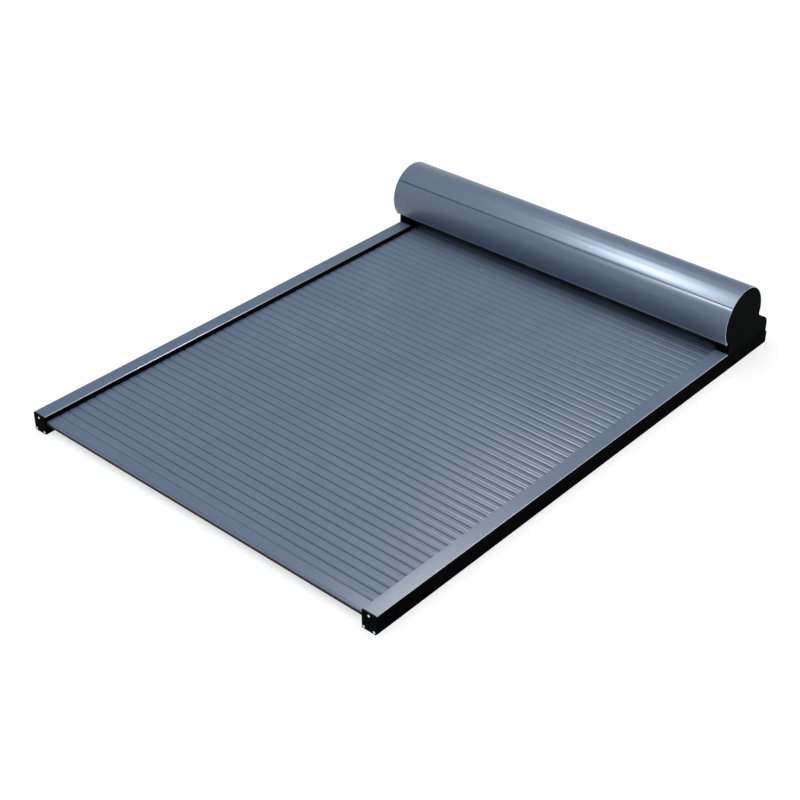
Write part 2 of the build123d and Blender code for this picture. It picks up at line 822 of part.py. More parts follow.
# Rubber grommet in the rear profile's hole, with a bore for the motor's lead
with BuildPart() as lead_grommet:
    for place in (cheek_rear + gland_flange, cheek_rear - rear_wall):
        with BuildSketch(across_plane(place)):
            with Locations((gland_x, gland_height)):
                RegularPolygon(gland_hole_radius + gland_flange_width, rim_sides)
        extrude(amount=gland_flange)
    with BuildSketch(across_plane(cheek_rear)):
        with Locations((gland_x, gland_height)):
            RegularPolygon(gland_hole_radius - running_gap, rim_sides)
    extrude(amount=rear_wall)
    with BuildSketch(across_plane(cheek_rear + gland_flange)):
        with Locations((gland_x, gland_height)):
            Circle(gland_bore_radius)
    extrude(amount=rear_wall + 2 * gland_flange, mode=Mode.SUBTRACT)
write_piece(lead_grommet.part, "lead_grommet")

# Axle and drive. The motor sits at the right end, and the idler with its bearing at the left end.
motor_side = 1
idler_side = -1
plug_across_flats = tube_across_flats - 2 * (tube_wall + fit_gap)
head_start = cheek_plate + bracket_thickness
motor_start = head_start + motor_head_length
crown_start = motor_start + slide_gap
tube_start = crown_start + crown_flange
tube_end = idler_flange_start + crown_flange
plug_end = tube_end + idler_plug_length
motor_end = motor_start + motor_length
wheel_start = motor_end + wheel_setback
wheel_end = wheel_start + wheel_length
bearing_start = cheek_plate + bearing_floor
bearing_end = bearing_start + bearing_width
axis_place = (along(casing_centre), axle_height)


def round_length(side, start, end, radius, mode=Mode.ADD):
    """Cylinder on the axle's line, between two distances inwards from one end of the shutter."""
    with BuildSketch(side_plane(inboard(side, start))) as disc:
        with Locations(axis_place):
            Circle(radius)
    extrude(disc.sketch, amount=-side * (end - start), mode=mode)


def flat_sided_length(side, start, end, across_flats, mode=Mode.ADD, sides=tube_sides):
    """Length with flat sides on the axle's line. Two of the flats lie at the front and at the rear."""
    with BuildSketch(side_plane(inboard(side, start))) as disc:
        with Locations(axis_place):
            RegularPolygon(across_flats / 2, sides, False, 180 / sides)
    extrude(disc.sketch, amount=-side * (end - start), mode=mode)


def spoke_holes(side, start, end):
    """Holes that lighten a wheel or a plug inside the tube."""
    with BuildSketch(side_plane(inboard(side, start))) as holes:
        with Locations(axis_place):
            with PolarLocations(spoke_hole_circle, spoke_hole_count):
                RegularPolygon(spoke_hole_radius, spoke_hole_sides)
    extrude(holes.sketch, amount=-side * (end - start), mode=Mode.SUBTRACT)


with BuildPart() as axle_tube:
    flat_sided_length(motor_side, tube_start, overall_width - tube_end, tube_across_flats)
    flat_sided_length(motor_side, tube_start, overall_width - tube_end,
                      tube_across_flats - 2 * tube_wall, Mode.SUBTRACT)
write_piece(axle_tube.part, "axle_tube")

with BuildPart() as motor_bracket:
    with BuildSketch(side_plane(inboard(motor_side, cheek_plate))):
        with Locations(axis_place):
            plate = Rectangle(bracket_width, bracket_height)
        chamfer(plate.vertices(), bracket_bevel)
        with Locations(*bracket_screw_places):
            RegularPolygon(bracket_screw_radius + fit_gap, shank_sides, mode=Mode.SUBTRACT)
    extrude(amount=-motor_side * bracket_thickness)
write_piece(motor_bracket.part, "motor_bracket")

with BuildPart() as motor_head:
    round_length(motor_side, head_start, motor_start, motor_head_radius)
write_piece(motor_head.part, "motor_head")

with BuildPart() as motor_body:
    round_length(motor_side, motor_start, motor_end, motor_radius)
    round_length(motor_side, motor_end - shaft_seat - fit_gap, motor_end, shaft_seat_radius, Mode.SUBTRACT)
write_piece(motor_body.part, "motor_body")

with BuildPart() as motor_shaft:
    flat_sided_length(motor_side, motor_end - shaft_seat, motor_end - shaft_seat + shaft_length,
                      shaft_across_flats, sides=shaft_sides)
write_piece(motor_shaft.part, "motor_shaft")

with BuildPart() as drive_wheel:
    flat_sided_length(motor_side, wheel_start, wheel_end, plug_across_flats)
    flat_sided_length(motor_side, wheel_start, wheel_end, shaft_across_flats + 2 * running_gap,
                      Mode.SUBTRACT, shaft_sides)
    spoke_holes(motor_side, wheel_start, wheel_end)
write_piece(drive_wheel.part, "drive_wheel")

with BuildPart() as motor_crown:
    flat_sided_length(motor_side, crown_start, tube_start, tube_across_flats)
    flat_sided_length(motor_side, tube_start, tube_start + crown_length, plug_across_flats)
    round_length(motor_side, crown_start, tube_start + crown_length, motor_radius + slide_gap, Mode.SUBTRACT)
write_piece(motor_crown.part, "motor_crown")

with BuildPart() as idler_plug:
    flat_sided_length(idler_side, idler_flange_start, tube_end, tube_across_flats)
    flat_sided_length(idler_side, tube_end, plug_end, plug_across_flats)
    round_length(idler_side, idler_flange_start, plug_end, pin_radius + running_gap, Mode.SUBTRACT)
    spoke_holes(idler_side, tube_end + crown_flange, plug_end)
write_piece(idler_plug.part, "idler_plug")

with BuildPart() as idler_pin:
    round_length(idler_side, bearing_start + fit_gap, plug_end, pin_radius)
write_piece(idler_pin.part, "idler_pin")

with BuildPart() as idler_bearing:
    flat_sided_length(idler_side, bearing_start, bearing_end, bearing_across_flats)
    round_length(idler_side, bearing_start, bearing_end, pin_radius + running_gap, Mode.SUBTRACT)
write_piece(idler_bearing.part, "idler_bearing")

with BuildPart() as bearing_holder:
    round_length(idler_side, cheek_plate, bearing_end, bearing_across_flats / 2 + holder_wall)
    with BuildSketch(side_plane(inboard(idler_side, cheek_plate))):
        with Locations(axis_place):
            plate = Rectangle(bracket_width, holder_height)
        chamfer(plate.vertices(), bracket_bevel)
        with Locations(*holder_screw_places):
            RegularPolygon(bracket_screw_radius + fit_gap, shank_sides, mode=Mode.SUBTRACT)
    extrude(amount=-idler_side * bracket_thickness)
    flat_sided_length(idler_side, bearing_start, bearing_end, bearing_across_flats + 2 * running_gap,
                      Mode.SUBTRACT)
write_piece(bearing_holder.part, "bearing_holder")

with BuildPart() as bracket_screws:
    for side, places in ((motor_side, bracket_screw_places), (idler_side, holder_screw_places)):
        with BuildSketch(side_plane(inboard(side, head_start))):
            with Locations(*places):
                RegularPolygon(bracket_screw_head_radius, head_sides)
        extrude(amount=-side * bracket_screw_head_height)
        with BuildSketch(side_plane(inboard(side, head_start))):
            with Locations(*places):
                RegularPolygon(bracket_screw_radius, shank_sides)
        extrude(amount=side * bracket_thickness)
write_piece(bracket_screws.part, "bracket_screws")

# Spring-steel straps from the top slat's hook up to the rear flat of the axle tube
strap_spacing = (overall_width - 2 * strap_inset) / (strap_count - 1)
strap_start = along(first_joint + slat_count * slat_pitch + nose)
strap_level = curtain_bottom + hook_top + fit_gap + strap_thickness / 2
strap_back = along(casing_centre) + tube_across_flats / 2 + fit_gap + strap_thickness / 2
with BuildPart() as hanger_straps:
    for place in evenly(strap_count, strap_spacing):
        with BuildSketch(side_plane(place - strap_width / 2)):
            with BuildLine():
                FilletPolyline(
                    (strap_start, strap_level),
                    (strap_back, strap_level),
                    (strap_back, axle_height + strap_rise),
                    radius=strap_bend,
                )
            trace(line_width=strap_thickness)
        extrude(amount=strap_width)
write_piece(hanger_straps.part, "hanger_straps")
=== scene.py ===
# %% [markdown]
# # An outdoor roller blind of metal slats
#
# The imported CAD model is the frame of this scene: every rail, cover and screw already lies in its place, in
# metres. X runs across the blind, Y from its front edge to the round casing, and Z upwards. The steps below
# point a camera, set the light, and then give each piece the finish or the finer shape that it has on the real
# object. The rigid CAD pieces whose shape is right only get a material and softer edges.

# %% Load the frame
import random
from math import cos, pi, radians, sin, tau

import bmesh
import bpy
from mathutils import Matrix, Vector


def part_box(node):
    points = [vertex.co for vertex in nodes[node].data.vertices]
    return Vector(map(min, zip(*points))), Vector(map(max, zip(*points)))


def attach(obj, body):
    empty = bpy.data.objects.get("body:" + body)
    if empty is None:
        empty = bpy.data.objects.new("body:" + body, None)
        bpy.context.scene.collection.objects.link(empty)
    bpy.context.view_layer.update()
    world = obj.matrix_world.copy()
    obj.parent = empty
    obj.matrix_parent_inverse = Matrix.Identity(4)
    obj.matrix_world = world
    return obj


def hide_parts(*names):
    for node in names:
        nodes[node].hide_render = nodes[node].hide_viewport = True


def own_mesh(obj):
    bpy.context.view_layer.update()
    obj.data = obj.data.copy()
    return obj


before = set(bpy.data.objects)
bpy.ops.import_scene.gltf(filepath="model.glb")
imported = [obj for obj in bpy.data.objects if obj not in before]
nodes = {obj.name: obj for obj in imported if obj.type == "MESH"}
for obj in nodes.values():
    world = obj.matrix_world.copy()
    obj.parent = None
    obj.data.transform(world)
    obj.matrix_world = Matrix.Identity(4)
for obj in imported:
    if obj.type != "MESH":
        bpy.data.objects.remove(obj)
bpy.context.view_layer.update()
scene = bpy.context.scene

# %% [markdown]
# ## Camera
#
# The blind is seen from its right front corner, from well above. The lens and the place come from the
# photograph: the edges that run in one direction meet in one vanishing point each, and these points give the
# angle of view and how far the camera looks down. A camera object could also aim through a Track To constraint,
# but a direction turned into a rotation is plain and leaves nothing behind in the scene.

# %% Camera
camera_place = Vector((2.2241, -2.5741, 2.2126))
camera_direction = Vector((-0.5519, 0.6231, -0.5542))
camera_lens = 70.43

camera_data = bpy.data.cameras.new("photo_camera")
camera_data.lens = camera_lens
camera_data.sensor_width = 36.0
camera = bpy.data.objects.new("photo_camera", camera_data)
camera.location = camera_place
camera.rotation_euler = camera_direction.to_track_quat("-Z", "Y").to_euler()
scene.collection.objects.link(camera)
scene.camera = camera
print("camera looks from", tuple(round(v, 3) for v in camera_place))

# %% [markdown]
# ## Light and floor
#
# The blind is lit by one large soft sky, as by a white studio ceiling. It is brightest high up and a little to
# the front, and gets darker towards the horizon, and that is what models the round of the casing. The pale
# sheen of the photograph, on the right half of the curtain and of the casing, is the mirror image of one round
# lamp. The lamp is hidden from the camera and from diffuse rays, so it adds sheen without a second pool of
# light. The white background is the colour of the floor: it gives off some white of its own to the camera, so
# that it reads as paper and still keeps the blind's soft shadow. For views from near the ground, where the
# floor would end at a dark horizon, a round white wall stands on it far away.

# %% Sheen lamp
sheen_place = (0.12, 0.22, 1.27)
sheen_size = 0.8
sheen_power = 40.0

sheen_light = bpy.data.lights.new("sheen_lamp", "AREA")
sheen_light.shape = "DISK"
sheen_light.size = sheen_size
sheen_light.energy = sheen_power
sheen = bpy.data.objects.new("sheen_lamp", sheen_light)
sheen.location = sheen_place
sheen.visible_camera = False
sheen.visible_diffuse = False
scene.collection.objects.link(sheen)


# %% Helpers for shader nodes
def node_in(tree, kind, **values):
    """Adds a node, sets its plain properties, and its sockets by name."""
    node = tree.nodes.new(kind)
    for name, value in values.items():
        if hasattr(node, name):
            setattr(node, name, value)
        else:
            node.inputs[name.replace("_", " ")].default_value = value
    return node


def seen_directly(tree):
    """One for rays from the camera and from mirror-like or clear surfaces, and nought for the rest."""
    path = tree.nodes.new("ShaderNodeLightPath")
    total = node_in(tree, "ShaderNodeMath", operation="MAXIMUM")
    tree.links.new(path.outputs["Is Camera Ray"], total.inputs[0])
    tree.links.new(path.outputs["Is Glossy Ray"], total.inputs[1])
    last = node_in(tree, "ShaderNodeMath", operation="MAXIMUM")
    tree.links.new(total.outputs[0], last.inputs[0])
    tree.links.new(path.outputs["Is Transmission Ray"], last.inputs[1])
    return last.outputs[0]


# %% World
# Each tone belongs to a height along the sky's axis, from -1 at its foot to 1 at its top. The ramp counts from
# nought to one, so both the heights and the dot product are halved and moved up by a half.
sky_axis = (0.03, -0.26, 0.965)
sky_tones = ((-0.10, 0.02), (0.35, 0.11), (0.75, 0.62), (1.0, 2.9))

world = bpy.data.worlds.new("plain_studio")
scene.world = world
world.use_nodes = True
sky = world.node_tree
sky_direction = sky.nodes.new("ShaderNodeTexCoord")
sky_height = node_in(sky, "ShaderNodeVectorMath", operation="DOT_PRODUCT")
sky_height.inputs[1].default_value = sky_axis
sky_tone = sky.nodes.new("ShaderNodeValToRGB")
stops = sky_tone.color_ramp.elements
while len(stops) < len(sky_tones):
    stops.new(0.5)
for stop, (place, tone) in zip(stops, sky_tones):
    stop.position = 0.5 + place / 2
    stop.color = (tone, tone, tone, 1)
sky_half = node_in(sky, "ShaderNodeMath", operation="MULTIPLY_ADD")
sky_half.inputs[1].default_value = 0.5
sky_half.inputs[2].default_value = 0.5
sky.links.new(sky_direction.outputs["Generated"], sky_height.inputs[0])
sky.links.new(sky_height.outputs["Value"], sky_half.inputs[0])
sky.links.new(sky_half.outputs[0], sky_tone.inputs[0])
sky.links.new(sky_tone.outputs[0], sky.nodes["Background"].inputs["Color"])
print("world nodes:", len(sky.nodes))

# %% Floor
floor_half = 150.0
floor_level = -0.0006
floor_glow = 0.62
floor_grey = 0.45

floor_mesh = bpy.data.meshes.new("paper_floor")
floor_mesh.from_pydata(
    [(x * floor_half, y * floor_half, floor_level) for x, y in ((-1, -1), (1, -1), (1, 1), (-1, 1))],
    [], [(0, 1, 2, 3)])
floor = bpy.data.objects.new("paper_floor", floor_mesh)
scene.collection.objects.link(floor)
paper = bpy.data.materials.new("white_paper")
paper.use_nodes = True
tree = paper.node_tree
tree.nodes.clear()
paper_diffuse = node_in(tree, "ShaderNodeBsdfDiffuse", Color=(floor_grey, floor_grey, floor_grey, 1))
paper_glow = node_in(tree, "ShaderNodeEmission", Color=(1, 1, 1, 1))
glow_amount = node_in(tree, "ShaderNodeMath", operation="MULTIPLY")
glow_amount.inputs[1].default_value = floor_glow
paper_sum = tree.nodes.new("ShaderNodeAddShader")
paper_out = tree.nodes.new("ShaderNodeOutputMaterial")
tree.links.new(seen_directly(tree), glow_amount.inputs[0])
tree.links.new(glow_amount.outputs[0], paper_glow.inputs["Strength"])
tree.links.new(paper_diffuse.outputs[0], paper_sum.inputs[0])
tree.links.new(paper_glow.outputs[0], paper_sum.inputs[1])
tree.links.new(paper_sum.outputs[0], paper_out.inputs[0])
floor_mesh.materials.append(paper)
scene.view_settings.view_transform = "Standard"
print("floor is", 2 * floor_half, "m wide")

# %% Wall
wall_radius = 60.0
wall_height = 18.0
wall_sides = 64

wall_points = [(wall_radius * cos(tau * n / wall_sides), wall_radius * sin(tau * n / wall_sides), height)
               for height in (floor_level, wall_height) for n in range(wall_sides)]
wall_faces = [(n, following, wall_sides + following, wall_sides + n)
              for n, following in ((n, (n + 1) % wall_sides) for n in range(wall_sides))]
wall_mesh = bpy.data.meshes.new("paper_wall")
wall_mesh.from_pydata(wall_points, [], wall_faces)
wall = bpy.data.objects.new("paper_wall", wall_mesh)
scene.collection.objects.link(wall)
lit_paper = bpy.data.materials.new("lit_paper")
lit_paper.use_nodes = True
tree = lit_paper.node_tree
tree.nodes.clear()
wall_glow = node_in(tree, "ShaderNodeEmission", Color=(1, 1, 1, 1))
wall_out = tree.nodes.new("ShaderNodeOutputMaterial")
tree.links.new(seen_directly(tree), wall_glow.inputs["Strength"])
tree.links.new(wall_glow.outputs[0], wall_out.inputs[0])
wall_mesh.materials.append(lit_paper)
print("wall is", wall_height, "m high")

# %% [markdown]
# ## Effects that several finishes share
#
# Lacquer, plastic and sheet metal are never one flat colour. A lacquer has a faint orange peel, a drawn profile
# shows lines along the way it was pulled, a moulded piece has a fine pebble grain, and everything outdoors
# carries a thin film of dust. Each of these effects is a node group with named inputs, placed in a material
# with its own values. The patterns are read at the object's own coordinates, so they stay on the piece when it
# moves.

# %% Helpers for node groups
def start_group(name, inputs, outputs):
    """Empty shader group with named number inputs and named outputs. Returns the tree and its two ends."""
    group = bpy.data.node_groups.new(name, "ShaderNodeTree")
    for label, value in inputs.items():
        socket = group.interface.new_socket(label, in_out="INPUT", socket_type="NodeSocketFloat")
        socket.default_value = value
    for label in outputs:
        group.interface.new_socket(label, in_out="OUTPUT", socket_type="NodeSocketFloat")
    return group, group.nodes.new("NodeGroupInput"), group.nodes.new("NodeGroupOutput")


def noise_in(group, coordinates, scale, detail=2.0, roughness=0.5):
    """Noise that is read at the given coordinates. The scale is a number or a socket."""
    noise = node_in(group, "ShaderNodeTexNoise", Detail=detail, Roughness=roughness)
    group.links.new(coordinates, noise.inputs["Vector"])
    if isinstance(scale, (int, float)):
        noise.inputs["Scale"].default_value = scale
    else:
        group.links.new(scale, noise.inputs["Scale"])
    return noise.outputs["Fac"]


def spread(group, value, low, high, to_low=0.0, to_high=1.0):
    """Stretches the part of a value between low and high to the whole range."""
    stretch = node_in(group, "ShaderNodeMapRange")
    for name, number in zip(("From Min", "From Max", "To Min", "To Max"), (low, high, to_low, to_high)):
        stretch.inputs[name].default_value = number
    group.links.new(value, stretch.inputs["Value"])
    return stretch.outputs[0]


# %% Peel and patches of a lacquer
patch_scale = 6.0
noise_low, noise_high = 0.3, 0.7

peel, peel_in, peel_out = start_group("lacquer_peel", {"Scale": 900.0}, ("Height", "Patches"))
peel_place = peel.nodes.new("ShaderNodeTexCoord").outputs["Object"]
peel.links.new(noise_in(peel, peel_place, peel_in.outputs["Scale"], 1.0), peel_out.inputs["Height"])
peel_patches = spread(peel, noise_in(peel, peel_place, patch_scale, 3.0), noise_low, noise_high)
peel.links.new(peel_patches, peel_out.inputs["Patches"])
print("group:", peel.name)

# %% Lines left by drawing or rolling the metal
drawn, drawn_in, drawn_out = start_group(
    "drawn_lines", {"Across X": 1.0, "Across Y": 1.0, "Across Z": 1.0}, ("Lines",))
drawn_place = drawn.nodes.new("ShaderNodeTexCoord").outputs["Object"]
drawn_scale = drawn.nodes.new("ShaderNodeCombineXYZ")
for index, axis in enumerate("XYZ"):
    drawn.links.new(drawn_in.outputs[f"Across {axis}"], drawn_scale.inputs[index])
drawn_stretch = node_in(drawn, "ShaderNodeVectorMath", operation="MULTIPLY")
drawn.links.new(drawn_place, drawn_stretch.inputs[0])
drawn.links.new(drawn_scale.outputs[0], drawn_stretch.inputs[1])
drawn_noise = noise_in(drawn, drawn_stretch.outputs[0], 1.0, 3.0, 0.6)
drawn.links.new(spread(drawn, drawn_noise, noise_low, noise_high), drawn_out.inputs["Lines"])
print("group:", drawn.name)

# %% Pebble grain of a moulding
pebble, pebble_in, pebble_out = start_group("pebble_grain", {"Scale": 1400.0}, ("Height",))
pebble_cells = node_in(pebble, "ShaderNodeTexVoronoi", feature="SMOOTH_F1")
pebble.links.new(pebble.nodes.new("ShaderNodeTexCoord").outputs["Object"], pebble_cells.inputs["Vector"])
pebble.links.new(pebble_in.outputs["Scale"], pebble_cells.inputs["Scale"])
pebble.links.new(pebble_cells.outputs["Distance"], pebble_out.inputs["Height"])
print("group:", pebble.name)

# %% Dust that settles on faces that look up
cloud_scale = 14.0
cloud_low, cloud_high = 0.38, 0.72
steep, level_face = 0.2, 1.0

dust, dust_in, dust_out = start_group("settled_dust", {"Amount": 0.1}, ("Mask",))
dust_up = dust.nodes.new("ShaderNodeSeparateXYZ")
dust.links.new(dust.nodes.new("ShaderNodeNewGeometry").outputs["Normal"], dust_up.inputs[0])
dust_place = dust.nodes.new("ShaderNodeTexCoord").outputs["Object"]
dust_cloud = spread(dust, noise_in(dust, dust_place, cloud_scale, 6.0, 0.65), cloud_low, cloud_high)
dust_flat = spread(dust, dust_up.outputs["Z"], steep, level_face)
dust_both = node_in(dust, "ShaderNodeMath", operation="MULTIPLY")
dust.links.new(dust_cloud, dust_both.inputs[0])
dust.links.new(dust_flat, dust_both.inputs[1])
dust_last = node_in(dust, "ShaderNodeMath", operation="MULTIPLY", use_clamp=True)
dust.links.new(dust_both.outputs[0], dust_last.inputs[0])
dust.links.new(dust_in.outputs["Amount"], dust_last.inputs[1])
dust.links.new(dust_last.outputs[0], dust_out.inputs["Mask"])
print("group:", dust.name)

# %% Sawn ends, where a lacquered profile shows its bare metal
nearly_sideways, sideways = 0.85, 0.95

sawn, sawn_in, sawn_out = start_group("sawn_ends", {"Amount": 1.0}, ("Mask",))
sawn_side = sawn.nodes.new("ShaderNodeSeparateXYZ")
sawn.links.new(sawn.nodes.new("ShaderNodeNewGeometry").outputs["True Normal"], sawn_side.inputs[0])
sawn_size = node_in(sawn, "ShaderNodeMath", operation="ABSOLUTE")
sawn.links.new(sawn_side.outputs["X"], sawn_size.inputs[0])
sawn_last = node_in(sawn, "ShaderNodeMath", operation="MULTIPLY")
sawn.links.new(spread(sawn, sawn_size.outputs[0], nearly_sideways, sideways), sawn_last.inputs[0])
sawn.links.new(sawn_in.outputs["Amount"], sawn_last.inputs[1])
sawn.links.new(sawn_last.outputs[0], sawn_out.inputs["Mask"])
print("group:", sawn.name)

# %% Rubbed edges and painted highlights, on faces that look half sideways
slant_low, slant_high = 0.08, 0.16

worn_highlit_edges, worn_highlit_in, worn_highlit_out = start_group("worn_and_highlit_edges", {"Amount": 1.0}, ("Mask",))
worn_highlit_side = worn_highlit_edges.nodes.new("ShaderNodeSeparateXYZ")
worn_highlit_edges.links.new(worn_highlit_edges.nodes.new("ShaderNodeNewGeometry").outputs["Normal"], worn_highlit_side.inputs[0])
side_square = node_in(worn_highlit_edges, "ShaderNodeMath", operation="MULTIPLY")
worn_highlit_edges.links.new(worn_highlit_side.outputs["X"], side_square.inputs[0])
worn_highlit_edges.links.new(worn_highlit_side.outputs["X"], side_square.inputs[1])
other_square = node_in(worn_highlit_edges, "ShaderNodeMath", operation="SUBTRACT")
other_square.inputs[0].default_value = 1.0
worn_highlit_edges.links.new(side_square.outputs[0], other_square.inputs[1])
both_squares = node_in(worn_highlit_edges, "ShaderNodeMath", operation="MULTIPLY")
worn_highlit_edges.links.new(side_square.outputs[0], both_squares.inputs[0])
worn_highlit_edges.links.new(other_square.outputs[0], both_squares.inputs[1])
worn_highlit_last = node_in(worn_highlit_edges, "ShaderNodeMath", operation="MULTIPLY")
worn_highlit_edges.links.new(spread(worn_highlit_edges, both_squares.outputs[0], slant_low, slant_high), worn_highlit_last.inputs[0])
worn_highlit_edges.links.new(worn_highlit_in.outputs["Amount"], worn_highlit_last.inputs[1])
worn_highlit_edges.links.new(worn_highlit_last.outputs[0], worn_highlit_out.inputs["Mask"])
print("group:", worn_highlit_edges.name)

# %% A band between two heights
height_band, band_in, band_out = start_group(
    "height_band", {"Bottom": 0.0, "Top": 1.0, "Fade": 0.001}, ("Mask",))
band_place = height_band.nodes.new("ShaderNodeSeparateXYZ")
height_band.links.new(height_band.nodes.new("ShaderNodeTexCoord").outputs["Object"], band_place.inputs[0])
band_parts = []
for first, second in ((band_place.outputs["Z"], band_in.outputs["Bottom"]),
                      (band_in.outputs["Top"], band_place.outputs["Z"])):
    difference = node_in(height_band, "ShaderNodeMath", operation="SUBTRACT")
    height_band.links.new(first, difference.inputs[0])
    height_band.links.new(second, difference.inputs[1])
    share = node_in(height_band, "ShaderNodeMath", operation="DIVIDE", use_clamp=True)
    height_band.links.new(difference.outputs[0], share.inputs[0])
    height_band.links.new(band_in.outputs["Fade"], share.inputs[1])
    band_parts.append(share.outputs[0])
band_last = node_in(height_band, "ShaderNodeMath", operation="MULTIPLY")
height_band.links.new(band_parts[0], band_last.inputs[0])
height_band.links.new(band_parts[1], band_last.inputs[1])
height_band.links.new(band_last.outputs[0], band_out.inputs["Mask"])
print("group:", height_band.name)


# %% [markdown]
# ## Finishes
#
# Each finish is one short function's worth of nodes around a Principled shader. The colour and the roughness
# change a little over the surface, and a Bump node gives the grain its relief. Numbers that are the same all
# over the surface, such as the coat or the specular level, are typed straight into the shader.

# %% Helpers for finishes
class Finish:
    """A material being built: a Principled shader and what feeds it."""

    def __init__(self, name, **sockets):
        self.material = bpy.data.materials.new(name)
        self.material.use_nodes = True
        self.tree = self.material.node_tree
        self.shader = self.tree.nodes["Principled BSDF"]
        for label, value in sockets.items():
            self.shader.inputs[label.replace("_", " ")].default_value = value

    def group(self, group, **values):
        """Places a shared effect with its own values."""
        node = self.tree.nodes.new("ShaderNodeGroup")
        node.node_tree = group
        for label, value in values.items():
            node.inputs[label.replace("_", " ")].default_value = value
        return node

    def colours(self, mask, first, second):
        """Colour that goes from the first to the second with a mask. Either may be a socket."""
        mix = node_in(self.tree, "ShaderNodeMix", data_type="RGBA")
        self.tree.links.new(mask, mix.inputs["Factor"])
        for label, colour in (("A", first), ("B", second)):
            socket = [s for s in mix.inputs if s.name == label and s.type == "RGBA"][0]
            if isinstance(colour, tuple):
                socket.default_value = (*colour, 1)
            else:
                self.tree.links.new(colour, socket)
        return [s for s in mix.outputs if s.type == "RGBA"][0]

    def numbers(self, mask, first, second):
        """Number that goes from the first to the second with a mask. The first may be a socket."""
        mix = node_in(self.tree, "ShaderNodeMix", data_type="FLOAT")
        self.tree.links.new(mask, mix.inputs["Factor"])
        if isinstance(first, (int, float)):
            mix.inputs["A"].default_value = first
        else:
            self.tree.links.new(first, mix.inputs["A"])
        mix.inputs["B"].default_value = second
        return mix.outputs["Result"]

    def feed(self, label, socket):
        """Links a changing value to one of the shader's sockets."""
        self.tree.links.new(socket, self.shader.inputs[label])

    def relief(self, height, distance):
        """Bump from a height, after any relief that is there already."""
        bump = node_in(self.tree, "ShaderNodeBump", Distance=distance, Strength=1.0)
        self.tree.links.new(height, bump.inputs["Height"])
        if self.shader.inputs["Normal"].is_linked:
            self.tree.links.new(self.shader.inputs["Normal"].links[0].from_socket, bump.inputs["Normal"])
        self.tree.links.new(bump.outputs[0], self.shader.inputs["Normal"])


# %% Slate lacquer
slate_base = (0.133, 0.185, 0.276)
slate_pale = (0.147, 0.203, 0.298)
slate_deep = (0.101, 0.145, 0.223)
# Near-black painted shade, laid into the slats' joints and into the casing's seam, where shade falls.
painted_joint_shade = (0.020, 0.024, 0.030)
# Bare metal: real on sawn ends, and a painted highlight along the casing's hem and, in part, on rubbed edges.
bare_metal_and_highlight = (0.62, 0.63, 0.65)
dust_colour = (0.42, 0.42, 0.41)
line_tint = 0.35
speckle_low, speckle_high = 0.38, 0.62
clean_roughness, lined_roughness, dusty_roughness = 0.40, 0.48, 0.9
line_relief, peel_relief = 0.00002, 0.00003
dull_depth, dull_fade = 0.02, 0.0006
coat_on_crests = 0.6


def slate_finish(name, line_scales, grain, flake=0.0, edge_wear_and_highlight=0.0, bands=(), dull_below=None, **coat):
    """Satin slate-blue lacquer. The lines run along the profile that it covers.

    Each band is a bottom, a top, a fade and a colour: painted shade deep in a joint or a seam, or a painted
    highlight of bare metal along a hem. Edges that look half sideways turn bare metal, partly as wear and
    partly as a painted highlight. Below the height dull_below the lacquer has lost its clear coat."""
    finish = Finish(name, **coat)
    skin = finish.group(peel, Scale=950.0)
    lines = finish.group(drawn, Across_X=line_scales[0], Across_Y=line_scales[1], Across_Z=line_scales[2])
    film = finish.group(dust, Amount=0.06)
    ends = finish.group(sawn, Amount=0.8)
    edges = finish.group(worn_highlit_edges, Amount=edge_wear_and_highlight)
    flakes = finish.group(peel, Scale=380.0)
    colour = finish.colours(skin.outputs["Patches"], slate_base, slate_pale)
    colour = finish.colours(finish.numbers(lines.outputs["Lines"], 0.0, line_tint), colour, slate_deep)
    speckle = spread(finish.tree, flakes.outputs["Height"], speckle_low, speckle_high, 0.0, grain)
    colour = finish.colours(speckle, colour, slate_deep)
    colour = finish.colours(film.outputs["Mask"], colour, dust_colour)
    # Edges that look half sideways turn bare metal: partly wear, partly a painted highlight along the rounds.
    colour = finish.colours(edges.outputs["Mask"], colour, bare_metal_and_highlight)
    metal = finish.numbers(edges.outputs["Mask"], flake, 1.0)
    for bottom, top, fade, band_colour in bands:
        stripe = finish.group(height_band, Bottom=bottom, Top=top, Fade=fade)
        colour = finish.colours(stripe.outputs["Mask"], colour, band_colour)
        metal = finish.numbers(stripe.outputs["Mask"], metal, 1.0 if band_colour == bare_metal_and_highlight else 0.0)
    finish.feed("Base Color", finish.colours(ends.outputs["Mask"], colour, bare_metal_and_highlight))
    brushed = finish.numbers(lines.outputs["Lines"], clean_roughness, lined_roughness)
    finish.feed("Roughness", finish.numbers(film.outputs["Mask"], brushed, dusty_roughness))
    finish.feed("Metallic", finish.numbers(ends.outputs["Mask"], metal, 1.0))
    if dull_below:
        dull = finish.group(height_band, Bottom=dull_below - dull_depth, Top=dull_below, Fade=dull_fade)
        finish.feed("Coat Weight", finish.numbers(dull.outputs["Mask"], coat_on_crests, 0.0))
    finish.relief(lines.outputs["Lines"], line_relief)
    finish.relief(skin.outputs["Height"], peel_relief)
    return finish.material


slat_level = min(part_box(name)[0][2] for name in nodes if name.startswith("slats_"))
# Up to joint_top the slats are painted near-black: painted shade in their joints.
joint_bottom, joint_top = slat_level - 0.01, slat_level + 0.0061
dull_level = slat_level + 0.0077
axle_height, casing_radius, seam_angle = 0.135, 0.087, 139.5
seam_level = axle_height + casing_radius * sin(radians(seam_angle))
# The front cover's lap, seen through the seam, is painted dark from just below the seam upwards: painted shade
# in the seam.
seam_bottom, seam_top = seam_level - 0.0008, seam_level + 0.02
